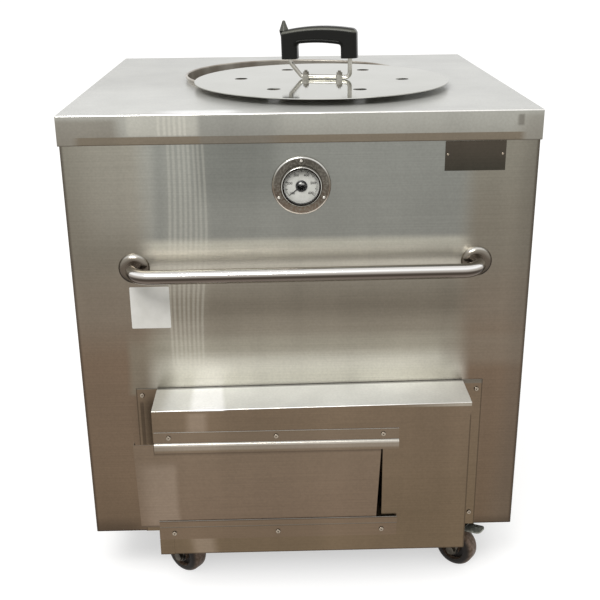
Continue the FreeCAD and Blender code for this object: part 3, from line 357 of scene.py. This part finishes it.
# Mouth collar: spun from stainless sheet with a rolled lip, and let into the top.
# It is bright with upright streaks above, and painted dark brown below, as the shade deep in the
# mouth under the lid.
mouth_shade_start, mouth_shade_full = 0.888, 0.858
collar_steel, tree, shader = new_finish("spun_stainless", Metallic=0.35, Roughness=0.3)
bright, _ = tinted(tree, shader, "#8A8175", "#B0AA9F", 60, stretch=(1, 1, 0.2))
height = measured(tree, "Object", "Z")
tree.links.new(fade(tree, height, mouth_shade_start, mouth_shade_full, bright, "#3B342D"),
               shader.inputs["Base Color"])
dress(collar_steel, "mouth_collar")

# Draft box: a folded hood and two cheeks of the same sheet, screwed to the front.
# The roof has painted reflections of the ceiling with a white painted highlight, the upright faces
# a painted brown reflection of the floor with warm painted glints, and painted shade darkens the
# seams and edges.
roof = ("Z", 0.416, 0.4175, *no_stop)
warm_glint = "#B0A090"
box_sheet = brushed_sheet(
    "ground_stainless_box", [(0.11, "#695A48"), (0.419, "#6C5D4D")], 0.3,
    glints=[
        ("#FFFFFF", 0.60, ("X", -0.207, -0.195, -0.150, -0.140), roof),
        ("#A09B8D", 0.55, ("X", *no_start, -0.258, -0.232), roof),
        ("#B3AEA2", 0.45, ("X", 0.13, 0.27, *no_stop), roof),
        (warm_glint, 0.25, ("X", -0.225, -0.205, -0.190, -0.170), ("Z", 0.05, 0.10, 0.15, 0.17)),
        (warm_glint, 0.22, ("X", -0.215, -0.200, -0.185, -0.170), ("Z", 0.36, 0.38, 0.41, 0.415)),
    ],
    lines=[
        ("#4A443C", 0.70, ("Y", -0.3630, -0.3615, *no_stop), roof),
        (edge_shade, 0.60, ("Z", *no_start, 0.1220, 0.1235), ("Y", *no_start, -0.440, -0.439)),
        (edge_shade, 0.55, ("X", 0.2925, 0.2940, *no_stop), ("Z", *no_start, 0.395, 0.405),
         ("Y", *no_start, -0.440, -0.438)),
        (edge_shade, 0.60, ("X", -0.3100, -0.3095, -0.3075, -0.3065)),
        (edge_shade, 0.60, ("X", 0.3305, 0.3315, 0.3330, 0.3340)),
        (edge_shade, 0.55, ("X", -0.3040, -0.3025, -0.2975, -0.2960),
         ("Z", 0.20, 0.25, 0.385, 0.395)),
        (edge_shade, 0.45, ("X", 0.3060, 0.3075, 0.3110, 0.3125), ("Z", 0.19, 0.21, 0.36, 0.38)),
    ],
    flat="#D2D2CC", bands=0.05)
dress(box_sheet, "draft_box", "box_left_cheek", "box_right_cheek")

# Draft door: a hemmed sheet that slides in two folded Z rails on the front of the draft box.
# The rails' lips have a painted highlight along their top and a painted shade line, and the door
# has painted shade where they cover it and along its foot, and a warm painted glint on its left.
lip_face = ("Y", *no_start, -0.4525, -0.4515)
rail_sheet = brushed_sheet(
    "folded_stainless_rail", [(0.15, "#6D5D4D"), (0.376, "#6E6051")], 0.28,
    lines=[
        ("#A8A196", 0.30, ("Z", 0.3390, 0.3450, *no_stop), lip_face),
        ("#C9C4BA", 0.50, ("Z", 0.3490, 0.3515, *no_stop), lip_face),
        ("#4A4038", 0.45, ("Z", 0.1925, 0.1940, 0.30, 0.31), lip_face),
    ],
    painted_fold_sheen="#BDB7AC", bands=0.05)
dress(rail_sheet, "upper_door_rail", "lower_door_rail")
door_sheet = brushed_sheet(
    "ground_stainless_door", [(0.18, "#6F5F50"), (0.352, "#706152")], 0.32,
    glints=[
        (warm_glint, 0.20, ("X", -0.300, -0.260, -0.234, -0.222), ("Z", 0.17, 0.19, 0.30, 0.325)),
    ],
    lines=[
        (edge_shade, 0.55, ("Z", 0.3290, 0.3370, *no_stop), ("X", -0.2710, -0.2690, *no_stop)),
        (edge_shade, 0.50, ("Z", *no_start, 0.1840, 0.1880)),
    ],
    painted_fold_sheen="#6E6153", flat="#7A6C5E", bands=0.03)
dress(door_sheet, "sliding_door")

# Air duct: bent from steel sheet, from the draft box to the pot's air port.
# Heat has browned it, so it looks dull and dark through the open door.
browned, tree, shader = new_finish("heat_browned_steel", Metallic=0.6, Roughness=0.55)
tinted(tree, shader, "#453B31", "#66594B", 18)
dress(browned, "air_duct")


# Screws: pan heads with a cross recess, through the draft box's flanges and the door's rails.
# The bright steel has painted shade round the side of each head, and the small recesses are dark
# marks painted as their shade.
def new_piece(name, shape, material, body):
    mesh = bpy.data.meshes.new(name)
    shape.to_mesh(mesh)
    shape.free()
    mesh.materials.append(material)
    piece = bpy.data.objects.new(name, mesh)
    bpy.context.scene.collection.objects.link(piece)
    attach(piece, body)
    return piece


screw_steel, tree, shader = new_finish("bright_screw_steel", Metallic=1.0, Roughness=0.25)
plain, _ = tinted(tree, shader, "#8A7E70", "#A09586", 4)
facing = measured(tree, "Normal", "Y")
tree.links.new(fade(tree, facing, -0.85, -0.45, plain, "#2E2822"), shader.inputs["Base Color"])
dress(screw_steel, "draft_box_screws", "door_rail_screws")
recess_dark, tree, shader = new_finish("shaded_recess", Roughness=0.6, Metallic=0.6)
tinted(tree, shader, "#26211C", "#3A332B", 2)
front_face, box_face = -0.355, -0.4485
sheet, head_high = 0.0015, 0.0022
flange_x, flange_z = (-0.298, 0.322), (0.138, 0.405)
first_rail_x, rail_pitch, rail_z = -0.2423, 0.191, (0.3655, 0.167)
recess_long, recess_deep, recess_wide = 0.0034, 0.0002, 0.0008
turn_between = 37
screw_heads = [(x, front_face, z) for x in flange_x for z in flange_z]
screw_heads += [(first_rail_x + rail_pitch * k, box_face, z) for k in range(3) for z in rail_z]
shape = bmesh.new()
for number, (x, y, z) in enumerate(screw_heads):
    for quarter in (0, 90):
        place = Matrix.Translation((x, y - sheet - head_high, z))
        turn = Matrix.Rotation(math.radians(quarter + turn_between * number), 4, "Y")
        size = Matrix.Diagonal((recess_long, recess_deep, recess_wide, 1))
        bmesh.ops.create_cube(shape, size=1, matrix=place @ turn @ size)
new_piece("screw_recesses", shape, recess_dark, "cabinet")


# Push rail: polished stainless tube bent at both ends, with a domed cover ring on each.
# Its polish is painted: a reflection of the ceiling along its top, and a dark reflection of the
# floor along its front.
def reflection_painted_finish(name, leans, **shader_values):
    """Smooth finish whose tone runs through (lean, colour), from facing down at -1 to up at 1."""
    # The tone by lean is a painted reflection.
    material, tree, shader = new_finish(name, **shader_values)
    lean = measured(tree, "Normal", "Z")
    tree.links.new(by_height(tree, lean, leans), shader.inputs["Base Color"])
    return material


tube_polish = reflection_painted_finish("polished_stainless_tube", [
    (-0.82, "#C6C1B9"), (-0.70, "#786E66"), (-0.39, "#665C54"), (-0.08, "#3A332D"),
    (0.06, "#4A423B"), (0.33, "#AFA8A0"), (0.57, "#F8F7F5"), (0.80, "#DDDAD6"),
    (0.95, "#BDB8B1"), (1.0, "#968F86")], Metallic=1.0, Roughness=0.14)
dress(tube_polish, "push_rail")
# The rings are buffed less than the tube, so their finish is softer, and their painted
# reflection darker.
ring_polish = reflection_painted_finish("polished_cover_ring", [
    (-0.6, "#2E2822"), (0.0, "#564E45"), (0.45, "#857E73"), (0.8, "#DAD7D0")],
    Metallic=1.0, Roughness=0.2)
dress(ring_polish, "left_rosette", "right_rosette")

# Thermometer: a case behind the panel, held by a nut, with a bezel pressed from stainless sheet.
# The bezel's dished ring has a dark painted reflection, browner below, and its outer edge and
# inner lip have painted highlights.
gauge_middle = 0.797
streak_mm = 3.8462
bezel_steel, tree, shader = new_finish("pressed_bezel_steel", Metallic=1.0, Roughness=0.2)
place = add_node(tree, "ShaderNodeTexCoord").outputs["Object"]
offset = add_node(tree, "ShaderNodeVectorMath", {0: place, 1: (0, 0, gauge_middle)},
                  operation="SUBTRACT").outputs["Vector"]
height = add_node(tree, "ShaderNodeSeparateXYZ", {"Vector": offset}).outputs["Z"]
flat_offset = add_node(tree, "ShaderNodeVectorMath", {0: offset, 1: (1, 0, 1)},
                       operation="MULTIPLY").outputs["Vector"]
reach = add_node(tree, "ShaderNodeVectorMath", {0: flat_offset},
                 operation="LENGTH").outputs["Value"]
streak = add_node(tree, "ShaderNodeTexNoise", {
    "Vector": place, "Scale": 1000 / streak_mm, "Detail": 3.0}).outputs["Fac"]
ring = by_height(tree, height, [
    (-0.045, "#63564A"), (-0.02, "#4E453C"), (0.02, "#55514A"), (0.045, "#4C4841")])
rim = by_height(tree, height, [
    (-0.045, "#E6DDD2"), (-0.01, "#6E6256"), (0.01, "#7D776C"), (0.04, "#D6D4CE")])
ring = fade(tree, streak, 0.40, 0.75, ring, "#716D64")
# The inner lip's painted highlight, the painted shadow inside it and the outer edge's painted
# highlight, by their reach from the middle.
for start, full, colour in ((0.0365, 0.0352, "#D5D3CC"), (0.0338, 0.0330, "#211E1B"),
                            (0.0470, 0.0490, rim)):
    ring = fade(tree, reach, start, full, ring, colour)
tree.links.new(ring, shader.inputs["Base Color"])
dress(bezel_steel, "gauge_bezel", "gauge_case", "gauge_nut", "gauge_stem")


# Bezel screws: three small pan heads that hold the bezel's ring to the panel.
# Their steel is bright and plain, so each shows as a pale dot.
def add_dome(shape, place, radius, flatness, around, along):
    """Low smooth dome, as on a pan head or a rivet."""
    dome = bmesh.ops.create_uvsphere(shape, u_segments=around, v_segments=along, radius=radius)
    bmesh.ops.scale(shape, vec=(1, flatness, 1), verts=dome["verts"])
    bmesh.ops.translate(shape, vec=place, verts=dome["verts"])
    for face in shape.faces:
        face.smooth = True


pan_head, tree, shader = new_finish("bright_pan_heads", Metallic=1.0, Roughness=0.25)
tinted(tree, shader, "#B4AFA5", "#D2CFC8", 3)
screw_ring, head_out = 0.0435, 0.0058
shape = bmesh.new()
for degrees in (90, 207, 332):
    angle = math.radians(degrees)
    middle = (screw_ring * math.cos(angle), front_face - head_out,
              gauge_middle + screw_ring * math.sin(angle))
    add_dome(shape, middle, radius=0.0028, flatness=0.55, around=20, along=12)
new_piece("bezel_screws", shape, pan_head, "cabinet")

# Dial: a white enamelled disc with plain printed figures and ticks, clockwise from lower left.
# The bezel's shade is painted on its upper part, so the enamel is greyer there.
shade_start, shade_full = gauge_middle + 0.008, gauge_middle + 0.034
dial_white, tree, shader = new_finish("printed_dial_enamel", Roughness=0.5)
enamel_tone, _ = tinted(tree, shader, "#CDCDC5", "#DAD9D2", 12)
height = measured(tree, "Object", "Z")
tree.links.new(fade(tree, height, shade_start, shade_full, enamel_tone, "#77756C"),
               shader.inputs["Base Color"])
dress(dial_white, "gauge_dial")
# The ink is matt, and a little uneven where it was pressed on.
dial_ink, tree, shader = new_finish("printed_dial_ink", Roughness=0.6)
tinted(tree, shader, "#24231F", "#34322D", 3)
dial_face = front_face - 0.0048
first_angle, sweep = 218, 256
last_tick, long_every = 50, 5
last_figure, figure_step = 5, 100
long_tick, short_tick = (0.0045, 0.0012), (0.0030, 0.0006)
tick_reach, figure_reach, ink_thick = 0.0285, 0.0205, 0.0002
shape = bmesh.new()
for tick in range(last_tick + 1):
    angle = math.radians(first_angle - sweep * tick / last_tick)
    length, width = long_tick if tick % long_every == 0 else short_tick
    turn = Matrix.Translation((0, dial_face, gauge_middle)) @ Matrix.Rotation(-angle, 4, "Y")
    bar = Matrix.Translation((tick_reach - length / 2, 0, 0))
    bar = bar @ Matrix.Diagonal((length, ink_thick, width, 1))
    bmesh.ops.create_cube(shape, size=1, matrix=turn @ bar)
for step in range(last_figure + 1):
    angle = math.radians(first_angle - sweep * step / last_figure)
    figure = bpy.data.curves.new("figure", "FONT")
    figure.body = str(figure_step * (step + 1))
    figure.size = 0.0062
    figure.offset = 0.00012
    figure.align_x = "CENTER"
    figure.align_y = "CENTER"
    holder = bpy.data.objects.new("figure", figure)
    flat = bpy.data.meshes.new_from_object(holder)
    middle = (figure_reach * math.cos(angle), dial_face - ink_thick / 2,
              gauge_middle + figure_reach * math.sin(angle))
    flat.transform(Matrix.Translation(middle) @ Matrix.Rotation(math.radians(90), 4, "X"))
    shape.from_mesh(flat)
    bpy.data.meshes.remove(flat)
    bpy.data.objects.remove(holder)
    bpy.data.curves.remove(figure)
new_piece("dial_print", shape, dial_ink, "cabinet")

# Pointer: a needle stamped from sheet on a shaft, painted satin black.
# Its hub has a polished cap, with a painted reflection of the ceiling above its middle and of
# the dark below.
pointer_black, tree, shader = new_finish("satin_black_pointer", Roughness=0.35)
tinted(tree, shader, "#121212", "#1E1E1D", 6)
dress(pointer_black, "gauge_pointer")
cap_polish, tree, shader = new_finish("polished_hub_cap", Metallic=1.0, Roughness=0.12)
height = measured(tree, "Object", "Z")
cap_painted_reflection = fade(tree, height, gauge_middle + 0.001, gauge_middle + 0.006, "#141413", "#B9B8B3")
tree.links.new(cap_painted_reflection, shader.inputs["Base Color"])
hub_top = front_face - 0.0077
cap_radius, cap_flatness = 0.0068, 0.28
shape = bmesh.new()
bmesh.ops.create_uvsphere(shape, u_segments=40, v_segments=20, radius=cap_radius)
bmesh.ops.bisect_plane(shape, geom=shape.verts[:] + shape.edges[:] + shape.faces[:],
                       plane_co=(0, 0, 0), plane_no=(0, 1, 0), clear_outer=True)
bmesh.ops.scale(shape, vec=(1, cap_flatness, 1), verts=shape.verts)
bmesh.ops.translate(shape, vec=(0, hub_top, gauge_middle), verts=shape.verts)
for face in shape.faces:
    face.smooth = True
new_piece("pointer_cap", shape, cap_polish, "pointer")

# Gauge glass: a flat disc of clear glass, held under the bezel's lip.
# It is nearly all see-through, and adds only a faint gloss to the dial.
window = new_finish("flat_gauge_glass", Roughness=0.02, Alpha=0.03, Base_Color="#20201E")[0]
dress(window, "gauge_glass")


# Plate: bare aluminium sheet, etched dark, on the front under the apron's right end.
# Two domed rivets of the screws' steel hold it.
def thin_plate(left, right, low, high, thick):
    """Thin oblong that lies flat on the front panel."""
    shape = bmesh.new()
    middle = ((left + right) / 2, front_face - thick / 2, (low + high) / 2)
    size = (right - left, thick, high - low, 1)
    bmesh.ops.create_cube(shape, size=1, matrix=Matrix.Translation(middle) @ Matrix.Diagonal(size))
    return shape


plate_etch = brushed_sheet(
    "etched_aluminium_plate", [(0.81, "#3B3831"), (0.87, "#48423A")], 0.42, bands=0.06)
plate_left, plate_right, plate_low, plate_high, plate_thick = 0.245, 0.3486, 0.8183, 0.8697, 0.0007
shape = thin_plate(plate_left, plate_right, plate_low, plate_high, plate_thick)
bmesh.ops.bevel(shape, geom=shape.edges[:], offset=0.0002, offset_type="OFFSET", segments=1,
                profile=0.5, affect="EDGES", material=-1)
new_piece("bare_plate", shape, plate_etch, "cabinet")
rivet_height, left_margin, right_margin = 0.8470, 0.0046, 0.0056
shape = bmesh.new()
for x in (plate_left + left_margin, plate_right - right_margin):
    middle = (x, front_face - plate_thick, rivet_height)
    add_dome(shape, middle, radius=0.0024, flatness=0.6, around=16, along=10)
new_piece("plate_rivets", shape, screw_steel, "cabinet")

# Label: a blank sticker of white vinyl with round corners, under the rail's left end.
# The vinyl has a soft sheen and is slightly soiled.
vinyl, tree, shader = new_finish("white_vinyl", Roughness=0.38)
tinted(tree, shader, "#C9C7C0", "#D4D2CC", 30, detail=6)
label_thick, corner_radius = 0.0003, 0.002
shape = thin_plate(left=-0.307, right=-0.237, low=0.538, high=0.617, thick=label_thick)
corners = [e for e in shape.edges if abs(e.verts[0].co.y - e.verts[1].co.y) > label_thick / 2]
bmesh.ops.bevel(shape, geom=corners, offset=corner_radius, offset_type="OFFSET", segments=4,
                profile=0.5, affect="EDGES", material=-1)
new_piece("blank_label", shape, vinyl, "cabinet")

# Lid: a flat disc of stainless sheet with round vents, polished until it mirrors the room.
# A bail of bent rod stands on two studs with nuts, and carries a moulded grip.
mirror_sheet, tree, shader = new_finish(
    "mirror_polished_stainless", Metallic=1.0, Roughness=0.08, Specular_Tint="#F0F0EE")
tinted(tree, shader, "#C9C9C3", "#D2D2CD", 120)
dress(mirror_sheet, "lid_plate")
# The drawn rod is bright, but softer than the disc.
rod_steel, tree, shader = new_finish("bent_stainless_rod", Metallic=1.0, Roughness=0.22)
tinted(tree, shader, "#A8A59C", "#C6C3BC", 12)
dress(rod_steel, "lid_bail")
# Turning left fine level rings on the studs, in place of a thread.
stud_steel, tree, shader = new_finish("turned_stud_steel", Metallic=1.0, Roughness=0.3)
tinted(tree, shader, "#6E6A62", "#A39F96", 2.5, stretch=(0.2, 0.2, 1))
dress(stud_steel, "bail_fixings")
# Phenolic comes black and glossy from its mould; a painted highlight runs along the edges that
# lean up.
phenolic = reflection_painted_finish("moulded_phenolic", [
    (-0.3, "#0E0E0D"), (0.15, "#191917"), (0.5, "#66665E"), (0.85, "#2B2B28")],
    Roughness=0.22, Specular_IOR_Level=0.12)
dress(phenolic, "lid_grip")


# Studio floor: a pale matt floor out to the horizon, which keeps the shadow under the oven.
# To the eye, and in metal and glass, it glows up to white, but less under the oven, where the
# weaker glow is a painted shadow.
def seen_directly(tree):
    """1 where the eye sees a surface, also in metal or glass, and 0 where it only lights."""
    rays = add_node(tree, "ShaderNodeLightPath").outputs
    seen = rays["Is Camera Ray"]
    for other in ("Is Glossy Ray", "Is Transmission Ray"):
        either = add_node(tree, "ShaderNodeMath", {0: seen, 1: rays[other]}, operation="MAXIMUM")
        seen = either.outputs[0]
    return seen


floor_half, open_glow, painted_shadow_glow = 60, 0.74, 0.54
floor_mesh = bpy.data.meshes.new("floor")
shape = bmesh.new()
bmesh.ops.create_grid(shape, x_segments=1, y_segments=1, size=floor_half)
shape.to_mesh(floor_mesh)
shape.free()
floor = bpy.data.objects.new("floor", floor_mesh)
bpy.context.scene.collection.objects.link(floor)
pale, tree, shader = new_finish("pale_studio_floor", Roughness=0.9, Specular_IOR_Level=0.0,
                                Base_Color="#ADACAA", Emission_Color="#FFFFFF")
place = add_node(tree, "ShaderNodeTexCoord").outputs["Object"]
# The glow is lowered under the oven as a painted shadow.
under = inside(tree, place, 1.0, ("X", -0.50, -0.32, 0.32, 0.50), ("Y", -0.36, -0.27, 0.30, 0.60))
glow = add_node(tree, "ShaderNodeMapRange", {
    "Value": under, "To Min": open_glow, "To Max": painted_shadow_glow}).outputs[0]
glow = add_node(tree, "ShaderNodeMath", {0: seen_directly(tree), 1: glow}, operation="MULTIPLY")
tree.links.new(glow.outputs[0], shader.inputs["Emission Strength"])
floor_mesh.materials.append(pale)

# Studio walls: an even white all round, which lights the oven from every side.
# They are white to the eye, and light the oven a little less strongly.
lighting_level, seen_level = 0.86, 1.0
world = bpy.data.worlds.new("studio")
bpy.context.scene.world = world
world.use_nodes = True
tree = world.node_tree
level = add_node(tree, "ShaderNodeMapRange", {
    "Value": seen_directly(tree), "To Min": lighting_level, "To Max": seen_level})
tree.links.new(level.outputs[0], tree.nodes["Background"].inputs["Strength"])
tree.nodes["Background"].inputs["Color"].default_value = linear("#FFFFFF")

# Lamp: one soft box on a stand, high in front of the oven and to its left.
# It is out of the picture, and gives the soft shadows a side.
lamp_place, lamp_target = Vector((-0.9, -2.6, 3.4)), Vector((0, 0, 0.7))
lamp = bpy.data.lights.new("front_softbox", "AREA")
lamp.shape = "RECTANGLE"
lamp.size = 1.8
lamp.size_y = 1.2
lamp.energy = 75
stand = bpy.data.objects.new("front_softbox", lamp)
stand.location = lamp_place
stand.rotation_euler = (lamp_target - lamp_place).to_track_quat("-Z", "Y").to_euler()
stand.visible_camera = False
bpy.context.scene.collection.objects.link(stand)

# Camera: in front of the oven and above its top, looking down by about 21 degrees.
# The angles, the place and the lens are those of the photograph.
image_pixels, focal_pixels = 600, 957.9
camera_place = (-0.038, -1.9581, 1.1924)
pitch, yaw, roll = math.radians(20.68), math.radians(1.20), math.radians(-0.61)
ahead = Vector((math.sin(yaw) * math.cos(pitch), math.cos(yaw) * math.cos(pitch),
                -math.sin(pitch)))
level_right = Vector((math.cos(yaw), -math.sin(yaw), 0))
level_up = level_right.cross(ahead)
right = math.cos(roll) * level_right + math.sin(roll) * level_up
up = -math.sin(roll) * level_right + math.cos(roll) * level_up
lens = bpy.data.cameras.new("camera")
lens.sensor_width = 36
lens.lens = focal_pixels / image_pixels * lens.sensor_width
lens.clip_end = 200
camera = bpy.data.objects.new("camera", lens)
turn = Matrix((right, up, -ahead)).transposed().to_4x4()
camera.matrix_world = Matrix.Translation(camera_place) @ turn
bpy.context.scene.collection.objects.link(camera)
bpy.context.scene.camera = camera
bpy.context.scene.view_settings.view_transform = "Standard"
